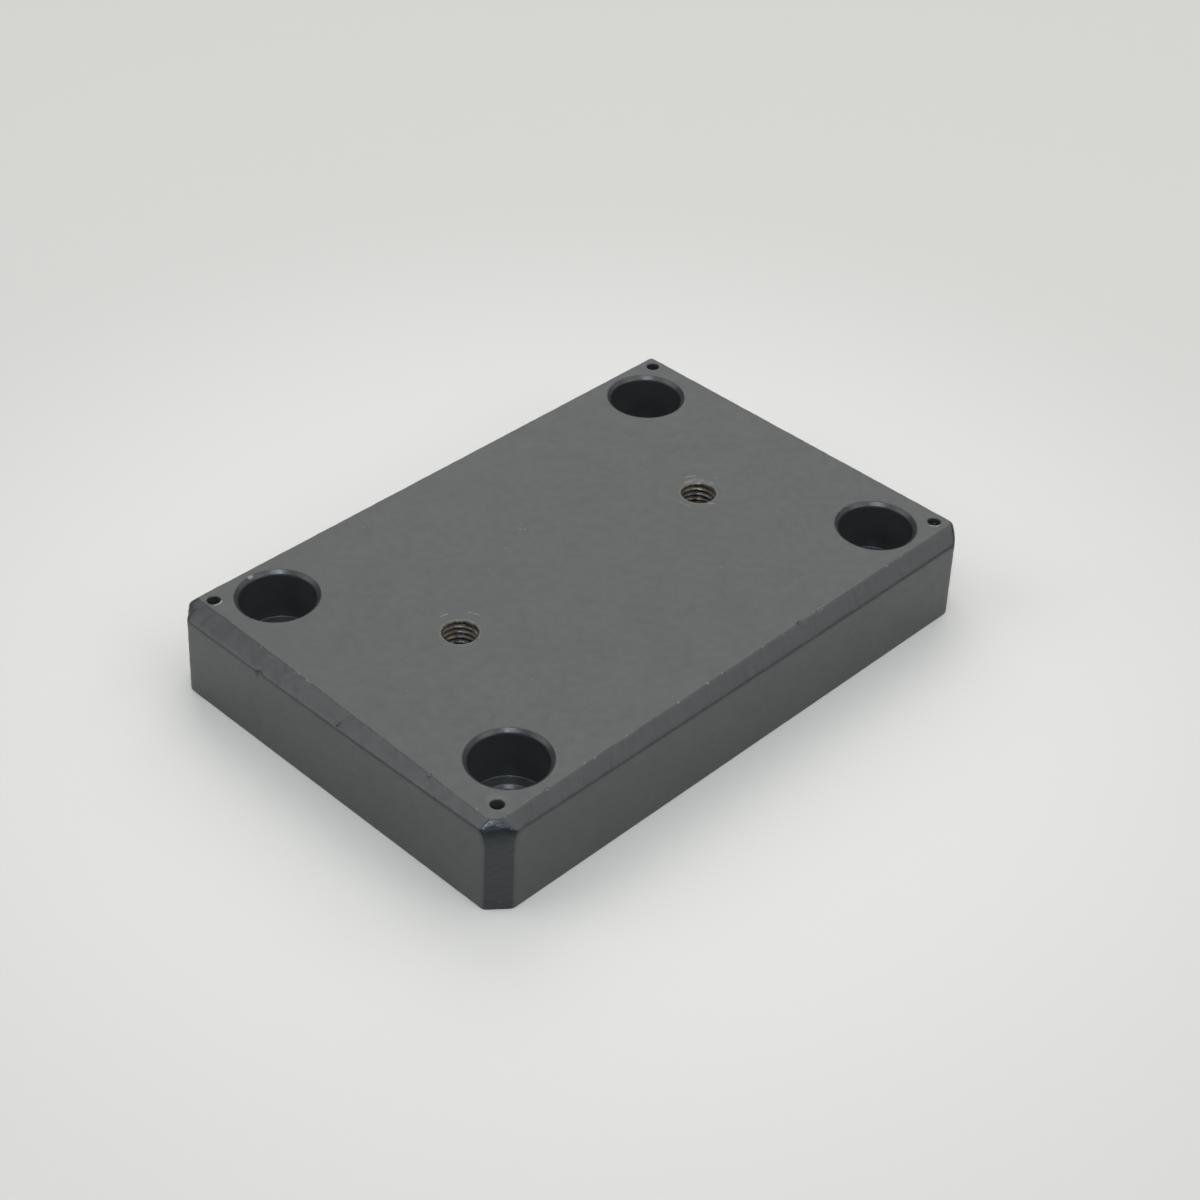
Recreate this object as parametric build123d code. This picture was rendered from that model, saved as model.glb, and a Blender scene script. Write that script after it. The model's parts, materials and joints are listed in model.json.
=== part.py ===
from build123d import *
import math
import os

# A machined mounting block: a thick rectangular steel plate, painted, with four
# counterbored screw holes, two tapped holes on its long centre line and a small
# pilot hole in each corner.  Millimetres, +Z up.  The origin is the middle of the
# underside, X runs along the length and Y along the width.

# Plate
LENGTH = 134.0
WIDTH = 91.5
THICKNESS = 20.0
TOP_BEVEL_RUN = 3.3          # width that the bevel round the top takes off the top face
TOP_BEVEL_DROP = 2.3         # height that it takes off the sides
CORNER_BEVEL = 4.0           # leg of the bevel down each upright corner
FACET_DROP = 4.5             # how far below the top face the leaning corner facet starts
FACET_INSET = 2.2            # how far the facet has leaned in when it reaches the top face
BOTTOM_EDGE_BREAK = 0.3      # leg of the deburred edge round the underside

# Counterbored holes for M8 socket head cap screws
SCREW_SPACING_X = 102.5
SCREW_SPACING_Y = 64.5
COUNTERBORE_DIAMETER = 15.0
COUNTERBORE_DEPTH = 11.0
COUNTERBORE_LIP = 0.8        # leg of the bevel at the mouth
SCREW_HOLE_DIAMETER = 9.0
SCREW_HOLE_LIP = 0.4         # leg of the bevel where the hole opens in the counterbore floor

# Tapped holes for M8 x 1.25, at the tapping drill size
TAPPED_SPACING = 66.5
TAP_DRILL_DIAMETER = 6.8
TAPPED_HOLE_LIP = 0.3

# Pilot holes in the corners, blind, at the tapping drill size for M3
PILOT_SPACING_X = 122.0
PILOT_SPACING_Y = 79.0
PILOT_DIAMETER = 2.5
PILOT_DEPTH = 8.0
PILOT_LIP = 0.25
DRILL_POINT_ANGLE = 118.0

UNDERSIDE_HOLE_BREAK = 0.3   # leg of the deburred edge where a hole comes out below
CUT_PAST = 1.0               # how far a cutting tool runs past the face it breaks through


def turned_cut(profile):
    """Return the solid swept by a closed (radius, height) profile turned about Z."""
    outline = Polyline(*profile, close=True)
    return revolve(Plane.XZ * make_face(outline), Axis.Z)


def through_mouth_above(radius, lip):
    """Return the two upper profile points of a hole with a 45 degree lip at the top face."""
    return [(radius, THICKNESS - lip), (radius + lip + CUT_PAST, THICKNESS + CUT_PAST)]


def through_mouth_below(radius):
    """Return the two lower profile points of a hole that comes out of the underside."""
    flare = radius + UNDERSIDE_HOLE_BREAK + CUT_PAST
    return [(flare, -CUT_PAST), (radius, UNDERSIDE_HOLE_BREAK)]


def counterbored_hole():
    """Return the cut for one socket head screw: a clear hole under a flat-floored bore."""
    hole = SCREW_HOLE_DIAMETER / 2
    bore = COUNTERBORE_DIAMETER / 2
    floor = THICKNESS - COUNTERBORE_DEPTH
    step = [(hole, floor - SCREW_HOLE_LIP), (hole + SCREW_HOLE_LIP, floor), (bore, floor)]
    return turned_cut(
        [(0, -CUT_PAST)]
        + through_mouth_below(hole)
        + step
        + through_mouth_above(bore, COUNTERBORE_LIP)
        + [(0, THICKNESS + CUT_PAST)]
    )


def tapped_hole():
    """Return the cut for one tapped hole, right through, with a lip at each end."""
    radius = TAP_DRILL_DIAMETER / 2
    return turned_cut(
        [(0, -CUT_PAST)]
        + through_mouth_below(radius)
        + through_mouth_above(radius, TAPPED_HOLE_LIP)
        + [(0, THICKNESS + CUT_PAST)]
    )


def pilot_hole():
    """Return the cut for one blind corner hole with a drill point at its end."""
    radius = PILOT_DIAMETER / 2
    shoulder = THICKNESS - PILOT_DEPTH
    point = radius / math.tan(math.radians(DRILL_POINT_ANGLE / 2))
    return turned_cut(
        [(0, shoulder - point), (radius, shoulder)]
        + through_mouth_above(radius, PILOT_LIP)
        + [(0, THICKNESS + CUT_PAST)]
    )


def corner_facet(side_x, side_y):
    """Return the wedge that leans the top of one upright corner bevel inwards.

    The wedge is drawn in the upright plane through the corner, square to the corner
    bevel: distance outwards from the corner against height.
    """
    bevel = -CORNER_BEVEL / math.sqrt(2)
    start = THICKNESS - FACET_DROP
    above = THICKNESS + CUT_PAST
    lean = FACET_INSET / FACET_DROP
    section = Polyline(
        (bevel, start),
        (bevel - lean * (above - start), above),
        (CUT_PAST, above),
        (CUT_PAST, start),
        close=True,
    )
    corner_plane = Plane(
        origin=(side_x * LENGTH / 2, side_y * WIDTH / 2, 0),
        x_dir=(side_x, side_y, 0),
        z_dir=(side_y, -side_x, 0),
    )
    reach = 2 * (CORNER_BEVEL + TOP_BEVEL_RUN)
    return extrude(corner_plane * make_face(section), amount=reach, both=True)


def plate_blank():
    """Return the plate with its upright corners, top edges and underside bevelled."""
    blank = Box(LENGTH, WIDTH, THICKNESS, align=(Align.CENTER, Align.CENTER, Align.MIN))
    blank = chamfer(blank.edges().filter_by(Axis.Z), CORNER_BEVEL)
    top = blank.faces().sort_by(Axis.Z)[-1]
    blank = chamfer(top.edges(), TOP_BEVEL_RUN, TOP_BEVEL_DROP, reference=top)
    blank = chamfer(blank.faces().sort_by(Axis.Z)[0].edges(), BOTTOM_EDGE_BREAK)
    for side_x in (-1, 1):
        for side_y in (-1, 1):
            blank -= corner_facet(side_x, side_y)
    return blank


def mounting_block():
    """Return the finished block: the blank with every hole cut."""
    screw_places = GridLocations(SCREW_SPACING_X, SCREW_SPACING_Y, 2, 2)
    tapped_places = GridLocations(TAPPED_SPACING, 0, 2, 1)
    pilot_places = GridLocations(PILOT_SPACING_X, PILOT_SPACING_Y, 2, 2)
    cuts = [place * counterbored_hole() for place in screw_places]
    cuts += [place * tapped_hole() for place in tapped_places]
    cuts += [place * pilot_hole() for place in pilot_places]
    block = plate_blank()
    for cut in cuts:
        block -= cut
    return block


os.makedirs("parts", exist_ok=True)
export_step(mounting_block(), "parts/mounting_block.step")
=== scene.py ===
import json
import math

import bmesh
import bpy
import numpy as np
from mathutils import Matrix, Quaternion, Vector


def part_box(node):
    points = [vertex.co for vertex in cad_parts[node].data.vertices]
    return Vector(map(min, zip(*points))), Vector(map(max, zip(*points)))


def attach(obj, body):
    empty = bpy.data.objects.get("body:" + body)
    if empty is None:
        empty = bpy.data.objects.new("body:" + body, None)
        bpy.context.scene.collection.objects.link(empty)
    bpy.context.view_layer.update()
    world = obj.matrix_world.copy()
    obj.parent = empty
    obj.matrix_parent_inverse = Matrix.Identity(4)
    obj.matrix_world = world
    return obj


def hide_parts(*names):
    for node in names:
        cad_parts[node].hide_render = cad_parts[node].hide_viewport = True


# A machined mounting block: a thick steel plate with a hand-ground bevel round its top,
# ground corners, four counterbored screw holes, two tapped holes and four pilot holes,
# all under a thin coat of dark grey satin paint.  Shapes are worked out in millimetres
# and become metres when they are put into the mesh.

MM = 0.001

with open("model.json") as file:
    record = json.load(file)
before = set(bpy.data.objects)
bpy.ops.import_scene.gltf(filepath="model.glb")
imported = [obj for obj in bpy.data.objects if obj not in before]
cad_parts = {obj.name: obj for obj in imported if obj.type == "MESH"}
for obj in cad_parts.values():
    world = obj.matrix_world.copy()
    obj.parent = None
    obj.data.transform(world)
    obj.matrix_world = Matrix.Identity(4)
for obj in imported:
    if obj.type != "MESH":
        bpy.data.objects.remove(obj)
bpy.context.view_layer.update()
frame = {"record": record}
block_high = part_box("mounting_block")[1]
mounts = {mount["name"]: mount for mount in frame["record"]["mounts"]}

# Plate, from the frame
HALF_X = block_high.x / MM
HALF_Y = block_high.y / MM
TOP = block_high.z / MM

# Holes, from the frame's mounts
SCREW = mounts["screw_holes"]["dims"]
SCREW_X = SCREW["spacing_x_mm"] / 2
SCREW_Y = SCREW["spacing_y_mm"] / 2
SCREW_RADIUS = SCREW["hole_r_mm"]
BORE_RADIUS = mounts["counterbore_front_left"]["dims"]["r_mm"]
TAPPED_X = mounts["tapped_hole_right"]["pos_m"][0] / MM
TAPPED_RADIUS = mounts["tapped_hole_right"]["dims"]["r_mm"]
PILOT = mounts["pilot_holes"]["dims"]
PILOT_X = PILOT["spacing_x_mm"] / 2
PILOT_Y = PILOT["spacing_y_mm"] / 2
PILOT_RADIUS = PILOT["hole_r_mm"]

# Hole details
BORE_DEPTH = 11.0
BORE_LIP = 0.78
SCREW_LIP = 0.7
TAPPED_LIP = 0.3
PILOT_DEPTH = 8.0
PILOT_LIP = 0.2
DRILL_POINT = math.radians(118.0)
UNDERSIDE_BREAK = 0.3
THREAD_PITCH = 1.25
THREAD_DEPTH = 0.62
THREAD_RUN_IN = 0.7          # height over which the groove comes up to its depth at a mouth

# Rounding of the painted edges
EDGE_ROUND = 0.16            # where a bevel meets a side
TOP_EDGE_ROUND = 0.06        # where a bevel meets the top face
BOTTOM_EDGE_ROUND = 0.12
TOP_BAND = 0.28              # rounded margin inside the top edge
BOTTOM_BAND = 1.2

# The grid of the outer skin
CORE_INSET = 9.0             # how far inside the sides the skin's rays start
CORE_HEIGHT = 10.0
SIDE_STEP = 0.85             # spacing of the columns along a straight side
NICK_STEP = 0.14             # and beside a nick
NICK_REACH = 0.8             # how far from a nick the columns stay close
DENSITY_SAMPLES = 4000       # along a side, where the density of columns is summed
CORNER_COLUMNS = 110
BAND_ROWS = 4
SIDE_ROWS = 34
BEVEL_ROWS = 12
HALVINGS = 24                # how often the gap is halved where a ray leaves the block
SHOULDER_DROP = 2.3          # height of the skin's bevel rows along a side
CORNER_SHOULDER_DROP = 2.4   # and how much more at a corner
CORNER_BLEND = (0.24, 0.36)  # share of a corner's turn over which that is added
COUNTERBORE_SEGMENTS = 80
PILOT_SEGMENTS = 32

# Unevenness of the hand grinding: height, wavelengths, and shares on the corner facets
BEVEL_GRIND = 0.09
BEVEL_WAVES = (3.1, 5.2, 8.7, 14.0)
CORNER_GRIND = 0.10
CORNER_WAVES = (1.7, 2.3, 3.1, 4.9)
FACET_GRIND_SHARE = 0.8
RIM_GRIND_SHARE = 0.25

# Where the finish changes
GROUND_BLEND = (-0.15, 0.1)  # distance past the plain faces over which ground paint starts
WORN_EDGE_WIDTH = 0.22

# Bevel round the top: run (off the top face) and drop (off the side) along each side, as
# value, slope and curve against the distance from the side's middle; and its ripple's seed.
BEVELS = {
    "left": dict(run=(3.38, 0.0253, -0.000146), drop=(2.10, 0.0125, -0.000188), seed=15),
    "front": dict(run=(3.35, 0.0044, -0.0000316), drop=(2.25, 0.0045, -0.000075), seed=16),
    "right": dict(run=(3.45, 0.0030, 0.0), drop=(3.30, 0.0020, 0.0), seed=16),
    "back": dict(run=(3.50, 0.0010, 0.0), drop=(3.50, -0.0015, 0.0), seed=15),
}

# Ground corners: the side signs; the legs of the upright bevel along X and Y at the
# underside and at the shoulder; the heading of the two facets above it; where the leaning
# facet starts below the top, its inset there and its lean; and the rim facet's inset at
# the top and its lean.
CORNERS = [
    dict(signs=(-1, -1), foot=(4.05, 3.49), shoulder=(4.35, 3.06), heading=53.0,
         start=4.2, inset=2.50, lean=0.30, rim=4.90, rim_lean=1.0),
    dict(signs=(1, -1), foot=(6.25, 5.0), shoulder=(6.65, 4.8), heading=45.0,
         start=4.4, inset=3.95, lean=0.12, rim=5.10, rim_lean=0.5),
    dict(signs=(1, 1), foot=(4.3, 4.4), shoulder=(4.6, 4.4), heading=46.0,
         start=4.4, inset=3.15, lean=0.22, rim=4.90, rim_lean=0.8),
    dict(signs=(-1, 1), foot=(4.0, 4.55), shoulder=(4.3, 5.25), heading=45.0,
         start=4.6, inset=3.35, lean=0.10, rim=4.45, rim_lean=0.6),
]

# Nicks knocked into the edges: place, radius and depth
NICKS = [
    ((16.3, -HALF_Y + 3.3, TOP), 0.55, 0.55),
    ((-HALF_X + 0.7, -2.6, TOP - 1.5), 0.45, 0.4),
    ((-HALF_X, 19.0, TOP - 2.5), 0.5, 0.35),
    ((-HALF_X + 2.6, -25.7, TOP), 0.3, 0.2),
    ((-52.0, -HALF_Y + 3.1, TOP), 0.3, 0.2),
    ((21.5, -HALF_Y + 3.4, TOP), 0.45, 0.14),
]


# ---------------------------------------------------------------- the outer skin

def curve_value(terms, along):
    """Value, slope and curve: terms[0] + terms[1] * t + terms[2] * t squared."""
    return terms[0] + terms[1] * along + terms[2] * along ** 2


def soft_max(distances, radius):
    """The largest of several distances, with the meeting of two rounded over radius.

    radius * log(sum of exp(distance / radius)), taken from the largest to stay in range.
    """
    largest = np.maximum.reduce(distances)
    total = sum(np.exp((distance - largest) / radius) for distance in distances)
    return largest + radius * np.log(total)


def ripple(across, along, wavelengths, seed):
    """Uneven hand-ground ripple from 0 to about 1: a sum of sines in two directions.

    Each sine has its own wavelength, tilt and start, drawn once from a seeded generator.
    """
    draw = np.random.default_rng(seed)
    total = np.zeros_like(across)
    for wavelength in wavelengths:
        tilt = draw.uniform(-0.5, 0.5)
        start = draw.uniform(0, 2 * np.pi)
        total += np.sin(2 * np.pi * (across + tilt * along) / wavelength + start)
    return 0.5 + 0.5 * total / len(wavelengths)


def side_frames(x, y):
    """For each side: its name, the distance outside it and the place along it."""
    return [
        ("left", -x - HALF_X, y),
        ("front", -y - HALF_Y, x),
        ("right", x - HALF_X, y),
        ("back", y - HALF_Y, x),
    ]


def bevel_distance(name, outside, along, z):
    """Distance outside the top bevel of one side.

    The bevel's plane goes through the top face at the run and the side at the drop.
    """
    run = curve_value(BEVELS[name]["run"], along)
    drop = curve_value(BEVELS[name]["drop"], along)
    grind = BEVEL_GRIND * ripple(along, z * 2, BEVEL_WAVES, BEVELS[name]["seed"])
    slant = np.hypot(run, drop)
    return ((outside + run) * drop + (z - TOP) * run) / slant + grind


def corner_distances(corner, x, y, z):
    """Distances outside the upright bevel, the leaning facet and the rim facet of a corner.

    The upright bevel cuts off a leg along X and one along Y, which change evenly from
    the underside to the shoulder.  Each facet is a plane whose inset grows with height
    by its lean.
    """
    from_x = HALF_X - corner["signs"][0] * x
    from_y = HALF_Y - corner["signs"][1] * y
    rise = np.clip(z / (TOP - corner["start"]), 0, 1)
    leg_x = corner["foot"][0] + (corner["shoulder"][0] - corner["foot"][0]) * rise
    leg_y = corner["foot"][1] + (corner["shoulder"][1] - corner["foot"][1]) * rise
    seed = 40 + 3 * corner["signs"][0] + corner["signs"][1]
    grind = CORNER_GRIND * ripple(z, (from_x - from_y) * 0.8, CORNER_WAVES, seed)
    upright = (leg_x * leg_y - from_x * leg_y - from_y * leg_x) / np.hypot(leg_x, leg_y)
    heading = math.radians(corner["heading"])
    reach = from_x * math.cos(heading) + from_y * math.sin(heading)
    lean, rim_lean = corner["lean"], corner["rim_lean"]
    leaning = corner["inset"] + lean * (z - TOP + corner["start"]) - reach
    rim = corner["rim"] + rim_lean * (z - TOP) - reach
    return [
        upright + grind,
        leaning / math.hypot(1, lean) + FACET_GRIND_SHARE * grind,
        rim / math.hypot(1, rim_lean) + RIM_GRIND_SHARE * grind,
    ]


def nick_depth(x, y, z):
    """How much deeper the surface lies at a nick: a bell round each nick's place."""
    depth = np.zeros_like(x)
    for (nick_x, nick_y, nick_z), radius, deep in NICKS:
        gap = (x - nick_x) ** 2 + (y - nick_y) ** 2 + (z - nick_z) ** 2
        depth += deep * np.exp(-gap / radius ** 2)
    return depth


def outside_walls(x, y, z):
    """Distance outside everything but the top and bottom faces, with rounded meetings."""
    distances = []
    for name, outside, along in side_frames(x, y):
        distances.append(outside)
        distances.append(bevel_distance(name, outside, along, z))
    for corner in CORNERS:
        distances.extend(corner_distances(corner, x, y, z))
    return soft_max(distances, EDGE_ROUND)


def outside_block(x, y, z):
    """Distance outside the whole block without its holes."""
    body = soft_max([outside_walls(x, y, z), z - TOP], TOP_EDGE_ROUND)
    body = soft_max([body, -z], BOTTOM_EDGE_ROUND)
    return body + nick_depth(x, y, z)


def ray_reach(inside, near, far):
    """Where each ray leaves a solid: the gap between near and far is halved again and again."""
    low = np.full_like(far, near)
    high = far.copy()
    for _ in range(HALVINGS):
        middle = (low + high) / 2
        outside = inside(middle) > 0
        high = np.where(outside, middle, high)
        low = np.where(outside, low, middle)
    return low


def stations(length, places):
    """Column places along a side, from its middle, closer together beside each nick.

    The density of columns is summed along the side and cut into equal shares.
    """
    line = np.linspace(-length / 2, length / 2, DENSITY_SAMPLES)
    density = np.full_like(line, 1 / SIDE_STEP)
    for place in places:
        density += np.exp(-((line - place) / NICK_REACH) ** 2) / NICK_STEP
    total = np.concatenate(([0], np.cumsum((density[1:] + density[:-1]) / 2)))
    total *= line[1] - line[0]
    count = int(math.ceil(total[-1]))
    return np.interp(np.arange(count) / count * total[-1], total, line)


def columns():
    """Start point and heading of every column of the skin, anticlockwise from above."""
    core_x = HALF_X - CORE_INSET
    core_y = HALF_Y - CORE_INSET
    on_front = [place[0] for place, _, _ in NICKS if place[1] < -core_y]
    on_left = [place[1] for place, _, _ in NICKS if place[0] < -core_x and place[1] > -core_y]
    fan = np.radians(90) * np.arange(CORNER_COLUMNS) / CORNER_COLUMNS
    sides = [
        (stations(2 * core_x, on_front), (1, 0), (0, -core_y), -90),
        (stations(2 * core_y, []), (0, 1), (core_x, 0), 0),
        (-stations(2 * core_x, []), (1, 0), (0, core_y), 90),
        (-stations(2 * core_y, [-place for place in on_left]), (0, 1), (-core_x, 0), 180),
    ]
    turns = [(core_x, -core_y), (core_x, core_y), (-core_x, core_y), (-core_x, -core_y)]
    start_x, start_y, heading, share = [], [], [], []
    for (along, line, offset, angle), (turn_x, turn_y) in zip(sides, turns):
        start_x += [line[0] * along + offset[0], np.full_like(fan, turn_x)]
        start_y += [line[1] * along + offset[1], np.full_like(fan, turn_y)]
        heading += [np.full_like(along, math.radians(angle)), math.radians(angle) + fan]
        share += [np.zeros_like(along), fan / math.radians(90)]
    return [np.concatenate(part) for part in (start_x, start_y, heading, share)]


def smooth_step(value, low, high):
    """0 below low, 1 above high and an even S between them."""
    share = np.clip((value - low) / (high - low), 0, 1)
    return share * share * (3 - 2 * share)


def cosine_rows(count):
    """Row places from 0 up to 1, close together at both ends: (1 - cos) / 2."""
    return 0.5 - 0.5 * np.cos(np.pi * np.arange(count) / count)


def profile_rows():
    """Row places over the four runs of the profile: underside, side, bevel, top."""
    band = np.sin(np.pi / 2 * np.arange(BAND_ROWS) / BAND_ROWS)
    margin = 1 - np.cos(np.pi / 2 * np.arange(BAND_ROWS + 1) / BAND_ROWS)
    return np.concatenate(
        [band, 1 + cosine_rows(SIDE_ROWS), 2 + cosine_rows(BEVEL_ROWS), 3 + margin]
    )


def skin_grid():
    """Points of the outer skin, one ring of columns for each row of the profile.

    A ray runs from a point inside the block through each place of a plain bevelled
    profile, and the skin's point is where that ray leaves the rounded block.
    """
    start_x, start_y, heading, share = columns()
    out_x, out_y = np.cos(heading), np.sin(heading)

    def wall_at(height):
        level = np.full_like(start_x, height)
        return ray_reach(
            lambda reach: outside_walls(start_x + reach * out_x, start_y + reach * out_y, level),
            1.0,
            np.full_like(start_x, CORE_INSET * 1.6),
        )

    side_reach = wall_at(0.4 * TOP)
    top_reach = wall_at(TOP - 0.01)
    in_corner = smooth_step(share, *CORNER_BLEND) * smooth_step(1 - share, *CORNER_BLEND)
    shoulder = TOP - SHOULDER_DROP - CORNER_SHOULDER_DROP * in_corner
    reach_knots = [side_reach - BOTTOM_BAND, side_reach, side_reach, top_reach,
                   top_reach - TOP_BAND]
    floor, roof = np.zeros_like(shoulder), np.full_like(shoulder, TOP)
    height_knots = [floor, floor, shoulder, roof, roof]

    rows = profile_rows()
    knot = np.minimum(rows.astype(int), 3)
    part = (rows - knot)[:, None]
    reach_knots, height_knots = np.array(reach_knots), np.array(height_knots)
    reach = reach_knots[knot] * (1 - part) + reach_knots[knot + 1] * part
    height = height_knots[knot] * (1 - part) + height_knots[knot + 1] * part
    rise = height - CORE_HEIGHT

    def point_at(stretch):
        return (
            start_x + stretch * reach * out_x,
            start_y + stretch * reach * out_y,
            CORE_HEIGHT + stretch * rise,
        )

    stretch = ray_reach(
        lambda stretch: outside_block(*point_at(stretch)), 0.5, np.full_like(reach, 1.1)
    )
    x, y, z = point_at(stretch)
    z[0] = 0
    z[-1] = TOP
    return np.stack([x, y, z], axis=-1)


def skin_finish(points):
    """How far each point of the skin is ground, and how near it is to the top edge."""
    x, y, z = np.moveaxis(points, -1, 0)
    plain = np.maximum.reduce([outside for _, outside, _ in side_frames(x, y)] + [z - TOP])
    bevels = [bevel_distance(name, outside, along, z)
              for name, outside, along in side_frames(x, y)]
    corners = [part for corner in CORNERS for part in corner_distances(corner, x, y, z)]
    ground = np.maximum.reduce(bevels + corners)
    by_corner = np.maximum.reduce(corners)
    upright = smooth_step(by_corner - np.maximum.reduce(bevels + [plain]), *GROUND_BLEND)
    level = smooth_step(ground - plain, *GROUND_BLEND)
    edge = np.exp(-((np.abs(ground) + np.abs(z - TOP)) / WORN_EDGE_WIDTH) ** 2)
    level[-1] = 0
    upright[-1] = 0
    edge[-1] = 0
    return dict(ground=level, upright=upright, edge=edge)


# ---------------------------------------------------------------- the holes

def rounded_profile(corners, radii, guard=0.1, arc_points=5):
    """A run of straight lines with rounded corners, as radius and height arrays.

    A corner of radius r starts r before the corner and ends r after it, along the curve
    (1-t)(1-t) A + 2 t (1-t) B + t t C.  A guard point on each side keeps the flats flat.
    """
    corners = np.array(corners, float)
    points = [corners[0]]
    share = np.linspace(0, 1, arc_points)[:, None]
    for before, corner, after, radius in zip(corners, corners[1:], corners[2:], radii):
        back = (before - corner) / np.linalg.norm(before - corner)
        ahead = (after - corner) / np.linalg.norm(after - corner)
        start, end = corner + radius * back, corner + radius * ahead
        arc = (1 - share) ** 2 * start + 2 * share * (1 - share) * corner + share ** 2 * end
        points += [start + guard * back, *arc, end + guard * ahead]
    points.append(corners[-1])
    return np.array(points)


def turned_rings(centre, profile, segments):
    """Rings of a turned hole: centre + radius * (cos a, sin a) at each profile height."""
    angle = 2 * np.pi * np.arange(segments) / segments
    radius, height = profile[:, :1], profile[:, 1:]
    x = centre[0] + radius * np.cos(angle)
    y = centre[1] + radius * np.sin(angle)
    return np.stack([x, y, np.broadcast_to(height, x.shape)], axis=-1)


def counterbore_profile():
    """Lip, straight bore, flat floor, lip of the clear hole, clear hole and its foot."""
    floor = TOP - BORE_DEPTH
    hole = SCREW_RADIUS
    corners = [
        (BORE_RADIUS + BORE_LIP + 0.05, TOP),
        (BORE_RADIUS + BORE_LIP, TOP),
        (BORE_RADIUS, TOP - BORE_LIP),
        (BORE_RADIUS, floor),
        (hole + SCREW_LIP, floor),
        (hole, floor - SCREW_LIP),
        (hole, UNDERSIDE_BREAK),
        (hole + UNDERSIDE_BREAK, 0),
    ]
    return rounded_profile(corners, (0.04, 0.3, 0.25, 0.15, 0.15, 0.1), 0.08)


def pilot_profile():
    """Lip, straight hole and drill point of a pilot hole."""
    shoulder = TOP - PILOT_DEPTH
    tip = shoulder - PILOT_RADIUS / math.tan(DRILL_POINT / 2)
    corners = [
        (PILOT_RADIUS + PILOT_LIP, TOP),
        (PILOT_RADIUS, TOP - PILOT_LIP),
        (PILOT_RADIUS, shoulder),
        (0.02, tip),
    ]
    return rounded_profile(corners, (0.12, 0.1), 0.05)


def tapped_rings(centre, segments=60, rows=161):
    """Rings of a tapped hole with its right-hand thread.

    The radius at turn a and height z is the drilled radius, plus the lip at each mouth,
    plus the groove.  The groove's depth depends on how far z is from the helix
    z = pitch * (a / full turn + whole number): full at the root, none at the crest.
    """
    angle = 2 * np.pi * np.arange(segments) / segments
    height = np.linspace(TOP, 0, rows)[:, None]
    phase = height / THREAD_PITCH - angle / (2 * np.pi)
    from_root = np.abs(phase - np.round(phase)) * THREAD_PITCH
    flank_start, flank_end = THREAD_PITCH / 16, THREAD_PITCH * 3 / 8
    groove = np.clip((flank_end - from_root) / (flank_end - flank_start), 0, 1)
    mouth = np.minimum(height, TOP - height)
    groove = groove * smooth_step(mouth, 0.05, THREAD_RUN_IN)
    lip = np.maximum(TAPPED_LIP - mouth, 0)
    radius = TAPPED_RADIUS + np.maximum(THREAD_DEPTH * groove, lip)
    x = centre[0] + radius * np.cos(angle)
    y = centre[1] + radius * np.sin(angle)
    crest = (1 - groove) * smooth_step(mouth, 0.0, 0.25)
    return np.stack([x, y, np.broadcast_to(height, x.shape)], axis=-1), crest


# ---------------------------------------------------------------- one closed mesh

FINISH_VALUES = ("ground", "upright", "edge", "thread", "crest")


class Shell:
    """The block's surface as it is gathered: points, faces, open loops, finish values."""

    def __init__(self):
        self.points = []
        self.faces = []
        self.loops = []
        self.finish = {name: [] for name in FINISH_VALUES}
        self.count = 0

    def add_rings(self, rings, tip=None, **finish):
        """Add rings of points joined by quads, and keep the first and last as open loops.

        With a tip, the last ring is closed by triangles that meet there.
        """
        rows, segments = rings.shape[:2]
        index = self.count + np.arange(rows * segments).reshape(rows, segments)
        along = np.roll(index, -1, axis=1)
        quads = np.stack([index[:-1], along[:-1], along[1:], index[1:]], axis=-1)
        self.faces += quads.reshape(-1, 4).tolist()
        self.loops.append(index[0])
        points = rings.reshape(-1, 3)
        extra = 0
        if tip is None:
            self.loops.append(index[-1])
        else:
            extra = 1
            points = np.vstack([points, tip])
            peak = np.full(segments, self.count + rows * segments)
            self.faces += np.stack([index[-1], along[-1], peak], axis=-1).tolist()
        self.points.append(points)
        for name in FINISH_VALUES:
            value = np.broadcast_to(finish.get(name, 0.0), (rows, segments)).reshape(-1)
            self.finish[name].append(np.append(value, value[-1:][:extra]))
        self.count += len(points)

    def make_piece(self, name):
        """Make the mesh, close the top and bottom faces round the holes, and return it."""
        mesh = bpy.data.meshes.new(name)
        mesh.from_pydata((np.vstack(self.points) * MM).tolist(), [], self.faces)
        mesh.polygons.foreach_set("use_smooth", np.ones(len(self.faces), bool))
        close_flat_faces(mesh, self.loops)
        for value_name, parts in self.finish.items():
            layer = mesh.attributes.new(value_name, "FLOAT", "POINT")
            layer.data.foreach_set("value", np.concatenate(parts).astype(np.float32))
        piece = bpy.data.objects.new(name, mesh)
        bpy.context.scene.collection.objects.link(piece)
        return piece


def close_flat_faces(mesh, loops):
    """Fill the top and the bottom between the outline and the holes' mouths.

    The filled faces are flat shaded, and the whole shell is turned to face outwards.
    """
    shell = bmesh.new()
    shell.from_mesh(mesh)
    shell.verts.ensure_lookup_table()
    for level in (0.0, TOP * MM):
        rim = []
        for loop in loops:
            if abs(shell.verts[loop[0]].co.z - level) < 1e-7:
                ends = zip(loop, np.roll(loop, -1))
                rim += [shell.edges.get((shell.verts[a], shell.verts[b])) for a, b in ends]
        filled = bmesh.ops.triangle_fill(shell, edges=rim, use_dissolve=False)
        for part in filled["geom"]:
            if isinstance(part, bmesh.types.BMFace):
                part.smooth = False
    bmesh.ops.recalc_face_normals(shell, faces=shell.faces)
    shell.to_mesh(mesh)
    shell.free()


def both_signs(x, y):
    """The four places (+-x, +-y)."""
    return [(side_x * x, side_y * y) for side_x in (-1, 1) for side_y in (-1, 1)]


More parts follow.
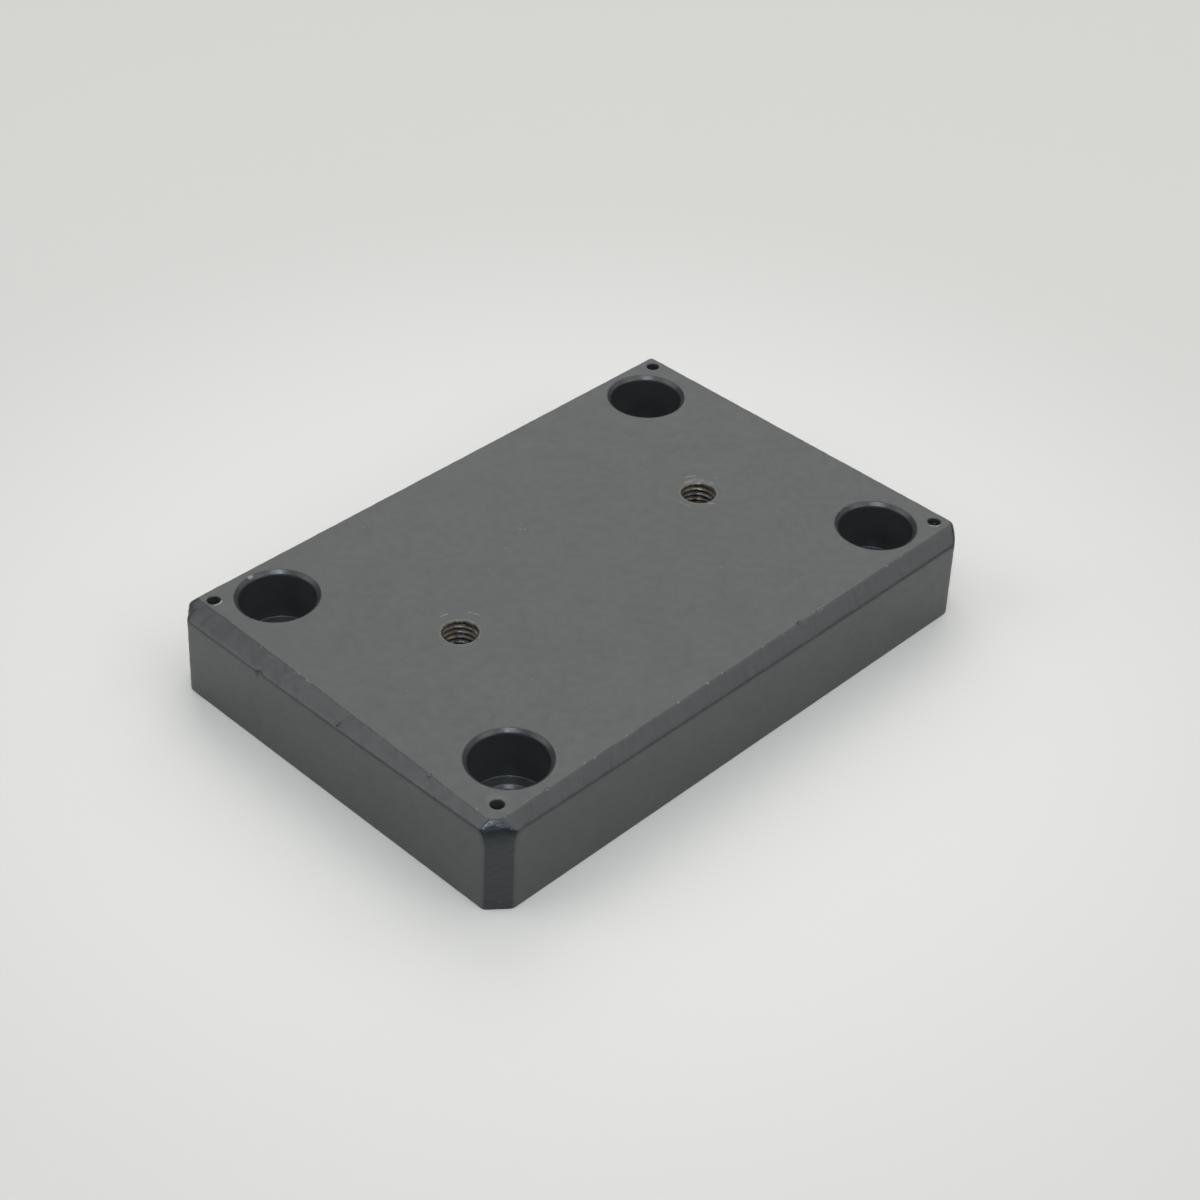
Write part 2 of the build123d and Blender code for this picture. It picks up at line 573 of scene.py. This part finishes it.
def make_block():
    """The whole block as one closed piece."""
    shell = Shell()
    skin = skin_grid()
    shell.add_rings(skin, **skin_finish(skin))
    for centre in both_signs(SCREW_X, SCREW_Y):
        shell.add_rings(turned_rings(centre, counterbore_profile(), COUNTERBORE_SEGMENTS))
    for centre in both_signs(PILOT_X, PILOT_Y):
        profile = pilot_profile()
        tip = (*centre, profile[-1, 1])
        shell.add_rings(turned_rings(centre, profile, PILOT_SEGMENTS), tip=tip)
    for centre in ((-TAPPED_X, 0), (TAPPED_X, 0)):
        rings, crest = tapped_rings(centre)
        inside = smooth_step(TOP - rings[..., 2], 0.0, 0.3)
        inside[-1] = 0
        crest[-1] = 0
        shell.add_rings(rings, thread=inside, crest=crest)
    return shell.make_piece("painted_block")


# ---------------------------------------------------------------- finishes

SPOT_HEIGHT = 0.6


class Finish:
    """A material made of nodes: each method adds a node and gives its output."""

    def __init__(self, name):
        self.material = bpy.data.materials.new(name)
        self.material.use_nodes = True
        self.tree = self.material.node_tree
        self.tree.nodes.clear()

    def add(self, kind, inputs=None, **settings):
        """Add a node; an input is either linked from another node or set to a value."""
        node = self.tree.nodes.new(kind)
        for name, setting in settings.items():
            setattr(node, name, setting)
        for name, value in (inputs or {}).items():
            if isinstance(value, bpy.types.NodeSocket):
                self.tree.links.new(value, node.inputs[name])
            else:
                node.inputs[name].default_value = value
        return node

    def maths(self, operation, *terms):
        """One sum, product or other operation on numbers."""
        return self.add("ShaderNodeMath", dict(enumerate(terms)), operation=operation).outputs[0]

    def step(self, value, low, high, start=0.0, end=1.0):
        """From start to end, in an even S, as value goes from low to high."""
        inputs = {"Value": value, "From Min": low, "From Max": high, "To Min": start, "To Max": end}
        node = self.add("ShaderNodeMapRange", inputs, interpolation_type="SMOOTHSTEP")
        return node.outputs["Result"]

    def place(self):
        """Object coordinates in millimetres."""
        coordinates = self.add("ShaderNodeTexCoord").outputs["Object"]
        scaled = self.add("ShaderNodeVectorMath", {0: coordinates, "Scale": 1 / MM}, operation="SCALE")
        return scaled.outputs[0]

    def framed(self, place, centre=(0, 0, 0), turn=0.0, size=(1, 1, 1)):
        """Place measured from a centre, turned back about Z and divided by a size."""
        inputs = {"Vector": place, "Location": centre, "Rotation": (0, 0, math.radians(turn)), "Scale": size}
        return self.add("ShaderNodeMapping", inputs, vector_type="TEXTURE").outputs[0]

    def noise(self, place, size, detail=2.0, roughness=0.5, stretch=(1, 1, 1)):
        """Noise whose blotches are about size millimetres, longer along a stretched axis."""
        framed = self.framed(place, size=[size * part for part in stretch])
        inputs = {"Vector": framed, "Scale": 1.0, "Detail": detail, "Roughness": roughness}
        return self.add("ShaderNodeTexNoise", inputs).outputs["Fac"]

    def length(self, vector):
        """Distance from the middle of a frame."""
        return self.add("ShaderNodeVectorMath", {0: vector}, operation="LENGTH").outputs["Value"]

    def value(self, name):
        """One of the block's finish values."""
        return self.add("ShaderNodeAttribute", attribute_name=name).outputs["Fac"]

    def blend(self, share, first, second):
        """A colour between first and second."""
        inputs = {"Factor": share, 6: first, 7: second}
        return self.add("ShaderNodeMix", inputs, data_type="RGBA").outputs[2]

    def spot(self, place, centre, size, turn=0.0, soft=0.5):
        """1 inside an ellipsoid round a centre, 0 outside it.

        It reaches SPOT_HEIGHT further up and down than the last of its sizes.
        """
        framed = self.framed(place, centre, turn, (size[0], size[1], size[-1] + SPOT_HEIGHT))
        return self.step(self.length(framed), 1.0, soft)

    def ring(self, place, centre, radius, width):
        """1 on a thin circle round a centre on the top, 0 away from it."""
        framed = self.framed(place, (centre[0], centre[1], TOP))
        away = self.maths("ABSOLUTE", self.maths("SUBTRACT", self.length(framed), radius))
        return self.step(away, width, width / 3)

    def arc(self, place, centre, radius, width, middle, reach):
        """The part of a ring that lies within reach of a middle point."""
        near = self.spot(place, (middle[0], middle[1], TOP), (reach, reach), soft=0.7)
        return self.maths("MULTIPLY", self.ring(place, centre, radius, width), near)

    def total(self, parts, operation="MAXIMUM"):
        """All the parts joined by one operation."""
        total = parts[0]
        for part in parts[1:]:
            total = self.maths(operation, total, part)
        return total

    def finish(self, inputs):
        """Join the shader to the output and give the material."""
        shader = self.add("ShaderNodeBsdfPrincipled", inputs)
        output = self.add("ShaderNodeOutputMaterial")
        self.tree.links.new(shader.outputs[0], output.inputs[0])
        return self.material


# Colours
PAINT = (0.0345, 0.0380, 0.0400, 1.0)
PAINT_PALE = (0.0430, 0.0460, 0.0470, 1.0)
# Dark bluish grey: painted shade on the upright corner bevels, standing for the dark room they reflect, and
# the dark grinding streaks on the bevels
PAINT_STREAK_AND_SHADE = (0.0105, 0.0150, 0.0195, 1.0)
PRIMER = (0.27, 0.26, 0.225, 1.0)
BARE_STEEL = (0.30, 0.25, 0.18, 1.0)
OILY_STEEL = (0.030, 0.028, 0.025, 1.0)
DUST = (0.55, 0.55, 0.53, 1.0)

# How strongly each mark shows, from 0 to 1
SPECK_STRENGTH = 0.35
SCUFF_STRENGTH = 0.28
PALE_STRENGTH = 0.24
# Strength of the scraped pilot rims and of the painted highlights at a counterbore lip and inside a pilot
# hole
SCRAPE_AND_GLINT_STRENGTH = 0.5

# Height of the paint's relief in millimetres
PEEL_HEIGHT = 0.017
GRAIN_HEIGHT = 0.004
UPRIGHT_MARK_HEIGHT = 0.10
GROUND_MARK_HEIGHT = 0.03


def edge_place(name, along):
    """Where the bevel of the front or left side meets the top face."""
    run = curve_value(BEVELS[name]["run"], along)
    if name == "front":
        return (along, run - HALF_Y, TOP)
    return (run - HALF_X, along, TOP)


def pale_marks(made, place):
    """Arcs and strokes round the tapped holes, scratches on the top, chips on the edges."""
    left_hole, right_hole = (-TAPPED_X, 0), (TAPPED_X, 0)
    strokes = [
        made.arc(place, left_hole, 6.05, 0.18, (-32.1, 5.95), 1.1),
        made.arc(place, left_hole, 6.25, 0.18, (-27.5, 2.4), 1.3),
        made.arc(place, right_hole, 6.02, 0.18, (36.25, 5.2), 1.4),
        made.arc(place, right_hole, 5.10, 0.16, (28.2, -0.65), 1.7),
        made.spot(place, (32.35, -4.3, TOP), (1.0, 0.22), -48.0),
        made.spot(place, (39.8, 1.1, TOP), (0.35, 0.25)),
        made.spot(place, (-1.4, 15.3, TOP), (0.8, 0.18)),
        made.spot(place, (-2.1, 15.9, TOP), (0.18, 0.8)),
        made.spot(place, (-8.75, 13.4, TOP), (1.2, 0.15), -43.0),
    ]
    for along in (-52.0, -40.0, -18.0, -10.0, 5.5):
        strokes.append(made.spot(place, edge_place("front", along), (0.35, 0.25, 0.0)))
    for along in (-25.7, 8.8, 12.0):
        strokes.append(made.spot(place, edge_place("left", along), (0.3, 0.55, 0.0)))
    broken = made.step(made.noise(place, 0.7, 2.0), 0.38, 0.62, 0.3, 1.0)
    return made.maths("MULTIPLY", made.total(strokes), broken)


def scrapes_and_glints(made, place):
    """Stronger pale marks: scraped rims of two pilot holes, a pale spot on a counterbore lip that is both
    scraped paint and a painted highlight where the lip catches glints, and a painted glint inside the right
    pilot hole.
    """
    left_pilot, right_pilot = (-PILOT_X, PILOT_Y), (PILOT_X, -PILOT_Y)
    return made.total([
        # Scraped paint and a painted highlight on the far outer edge of the left-back counterbore's lip
        made.spot(place, (-51.3, 40.5, TOP - 0.3), (0.9, 0.4)),
        made.arc(place, left_pilot, 1.5, 0.3, (-61.0, 38.0), 1.2),
        made.arc(place, right_pilot, 1.5, 0.25, (60.0, -40.5), 1.1),
        # Painted glint: a pale spot on the wall of the right pilot hole, 1.4 mm below the top
        made.spot(place, (62.0, -39.0, TOP - 1.4), (0.3, 0.3, -0.3)),
    ])


def scuffs(made, place):
    """Rubbed patches at both tapped holes and the front pilot, and a chipped front edge."""
    patchy = made.step(made.noise(place, 0.9, 3.0, 0.6), 0.4, 0.6, 0.25, 1.0)
    chips = made.step(made.noise(place, 0.6, 2.0), 0.48, 0.56)
    front_pilot = (-PILOT_X + 0.9, -PILOT_Y + 0.9, TOP)
    chipped_run = made.spot(place, edge_place("front", 21.75), (2.3, 0.5, 0.0), soft=0.8)
    return made.total([
        made.maths("MULTIPLY", patchy, made.arc(place, (TAPPED_X, 0), 4.3, 0.9, (35.8, 2.4), 3.6)),
        made.maths("MULTIPLY", patchy, made.ring(place, (TAPPED_X, 0), 3.75, 0.3)),
        made.maths("MULTIPLY", patchy, made.ring(place, (-TAPPED_X, 0), 3.75, 0.3)),
        made.maths("MULTIPLY", made.spot(place, front_pilot, (2.6, 2.0), 135.0, 0.0), 0.5),
        made.maths("MULTIPLY", chips, chipped_run),
    ])


def painted_steel():
    """Dark grey satin paint over ground steel, worn at edges, with bare thread crests; with painted shade on
    the upright corner bevels and painted highlights on a counterbore lip and inside a pilot hole.
    """
    made = Finish("grey_satin_paint")
    place = made.place()
    ground = made.value("ground")
    upright = made.value("upright")
    edge = made.value("edge")
    thread = made.value("thread")
    crest = made.value("crest")

    cloud = made.noise(place, 9.0, 3.0)
    peel = made.noise(place, 0.9, 3.0, 0.6)
    grain = made.noise(place, 0.28, 2.0, 0.6)
    marks = made.noise(place, 0.8, 3.0, 0.6, (2.4, 2.4, 1.0))

    shade = made.step(made.maths("ADD", cloud, made.maths("MULTIPLY", peel, 0.4)), 0.4, 1.0)
    colour = made.blend(shade, PAINT, PAINT_PALE)
    # Painted shade: the upright corner bevels are made darker and bluer, as the dark room they reflect would
    # make them
    colour = made.blend(upright, colour, PAINT_STREAK_AND_SHADE)
    # Dark grinding streaks on the ground bevels, a real mark
    streaks = made.step(made.noise(made.framed(place, turn=55), 0.7, 2.0, 0.5, (6, 1, 6)), 0.5, 0.7)
    streaks = made.maths("MULTIPLY", made.maths("MULTIPLY", streaks, ground), 0.3)
    colour = made.blend(streaks, colour, PAINT_STREAK_AND_SHADE)

    rubbed = made.step(made.noise(place, 6.0, 2.0), 0.35, 0.75, 0.06, 0.16)
    chipped = made.step(made.noise(place, 1.1, 2.0), 0.66, 0.72, 0.0, 0.55)
    worn_edge = made.maths("MULTIPLY", edge, made.maths("ADD", rubbed, chipped))
    colour = made.blend(worn_edge, colour, PRIMER)

    speck_cells = made.add("ShaderNodeTexVoronoi", {"Vector": place, "Scale": 0.42})
    speck = made.step(speck_cells.outputs["Distance"], 0.05, 0.02)
    keep = made.step(made.noise(place, 3.1, 1.0), 0.5, 0.56)
    speck = made.maths("MULTIPLY", speck, keep)
    colour = made.blend(made.maths("MULTIPLY", speck, SPECK_STRENGTH), colour, DUST)

    colour = made.blend(made.maths("MULTIPLY", scuffs(made, place), SCUFF_STRENGTH), colour, PRIMER)
    pale = made.maths("MULTIPLY", pale_marks(made, place), PALE_STRENGTH)
    colour = made.blend(pale, colour, DUST)
    # Scraped pilot rims, plus painted highlights at a counterbore lip and inside the right pilot hole
    scrape_and_glint = made.maths("MULTIPLY", scrapes_and_glints(made, place), SCRAPE_AND_GLINT_STRENGTH)
    colour = made.blend(scrape_and_glint, colour, DUST)

    bare = made.maths("MULTIPLY", crest, made.step(made.noise(place, 1.3, 2.0), 0.4, 0.65))
    colour = made.blend(thread, colour, OILY_STEEL)
    colour = made.blend(bare, colour, BARE_STEEL)

    roughness = made.step(made.noise(place, 2.2, 3.0), 0.3, 0.7, 0.30, 0.38)
    relief = made.total([
        made.maths("MULTIPLY", peel, PEEL_HEIGHT),
        made.maths("MULTIPLY", grain, GRAIN_HEIGHT),
        made.maths("MULTIPLY", made.maths("MULTIPLY", marks, upright), UPRIGHT_MARK_HEIGHT),
        made.maths("MULTIPLY", made.maths("MULTIPLY", marks, ground), GROUND_MARK_HEIGHT),
    ], "ADD")
    bump = made.add("ShaderNodeBump", {"Height": relief, "Distance": MM, "Strength": 1.0})
    return made.finish(inputs={
        "Base Color": colour,
        "Roughness": roughness,
        "Metallic": made.maths("MULTIPLY", bare, 0.9),
        "IOR": 1.6,
        "Specular IOR Level": made.step(upright, 0.0, 1.0, 0.5, 0.46),
        "Normal": bump.outputs["Normal"],
    })


# ---------------------------------------------------------------- studio

FLOOR_COLOUR = (0.765, 0.755, 0.725, 1.0)
# Painted shade: the table top's colour darkens away from the middle, standing for light falling off towards
# the edges
FLOOR_PAINTED_SHADE_COLOUR = (0.675, 0.662, 0.636, 1.0)
FLOOR_SHADE = (75.0, 190.0)      # millimetres from the middle between the two colours
FLOOR_RADIUS = 1.3


def make_floor():
    """A round pale table top under the block, with painted shade darkening it away from the middle."""
    angle = np.linspace(0, 2 * np.pi, 96, endpoint=False)
    rim = np.stack([np.cos(angle), np.sin(angle), np.zeros_like(angle)], axis=-1) * FLOOR_RADIUS
    mesh = bpy.data.meshes.new("table_top")
    mesh.from_pydata(rim.tolist(), [], [list(range(len(rim)))])
    table = bpy.data.objects.new("table_top", mesh)
    bpy.context.scene.collection.objects.link(table)
    made = Finish("pale_laminate")
    # Painted shade: darker with distance from the middle
    away = made.step(made.length(made.place()), *FLOOR_SHADE)
    mesh.materials.append(made.finish(inputs={
        "Base Color": made.blend(away, FLOOR_COLOUR, FLOOR_PAINTED_SHADE_COLOUR),
        "Roughness": 0.6,
        "Specular IOR Level": 0.3,
    }))
    return table


def soft_box(name, plan_angle, elevation, distance, size, radiance, colour=(1, 1, 1)):
    """A rectangular lamp that faces the block from a plan angle and an elevation.

    Its power is radiance * 4 * area, so it looks equally bright at any size.
    """
    plan, rise = math.radians(plan_angle), math.radians(elevation)
    away = Vector((math.cos(plan) * math.cos(rise), math.sin(plan) * math.cos(rise), math.sin(rise)))
    light = bpy.data.lights.new(name, "AREA")
    light.shape = "RECTANGLE"
    light.size, light.size_y = size
    light.energy = radiance * 4 * size[0] * size[1]
    light.color = colour
    lamp = bpy.data.objects.new(name, light)
    lamp.location = away * distance
    lamp.rotation_mode = "QUATERNION"
    lamp.rotation_quaternion = away.to_track_quat("Z", "Y")
    bpy.context.scene.collection.objects.link(lamp)


def light_studio():
    """Soft boxes overhead and on four sides, two small lamps and a dim room."""
    soft_box("ceiling_box", 0, 90, 2.0, (3.0, 3.0), 0.80)
    soft_box("back_box", 43, 38, 2.0, (2.0, 1.3), 1.08, (1.0, 0.99, 0.97))
    soft_box("left_box", 139, 36, 2.0, (1.4, 1.1), 1.15)
    soft_box("right_box", -20, 35, 2.0, (1.0, 0.9), 0.85)
    soft_box("front_right_box", -75, 38, 2.0, (1.2, 1.0), 1.28)
    soft_box("lamp_left", 229, 52, 1.6, (0.16, 0.12), 44.0, (0.82, 0.92, 1.0))
    soft_box("lamp_right", 217, 52, 1.6, (0.16, 0.12), 44.0, (0.82, 0.92, 1.0))
    world = bpy.data.worlds.new("room")
    world.use_nodes = True
    background = world.node_tree.nodes["Background"]
    background.inputs["Color"].default_value = (0.95, 0.97, 1.0, 1.0)
    background.inputs["Strength"].default_value = 0.06
    bpy.context.scene.world = world


CAMERA_PLACE = Vector((-0.27706, -0.26597, 0.31058))
CAMERA_AIM = Vector((0.01170, 0.00630, 0.0))
CAMERA_ROLL = math.radians(2.178)
CAMERA_LENS = 73.19


def set_camera():
    """The camera stands at its place, faces its aim and leans by its roll."""
    view = bpy.data.cameras.new("camera")
    view.lens = CAMERA_LENS
    view.sensor_width = 36.0
    camera = bpy.data.objects.new("camera", view)
    camera.location = CAMERA_PLACE
    camera.rotation_mode = "QUATERNION"
    facing = (CAMERA_AIM - CAMERA_PLACE).to_track_quat("-Z", "Y")
    camera.rotation_quaternion = facing @ Quaternion((0, 0, 1), CAMERA_ROLL)
    bpy.context.scene.collection.objects.link(camera)
    bpy.context.scene.camera = camera


block = make_block()
block.data.materials.append(painted_steel())
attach(block, "root")
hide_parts("mounting_block")
make_floor()
light_studio()
set_camera()
bpy.context.scene.view_settings.view_transform = "Standard"
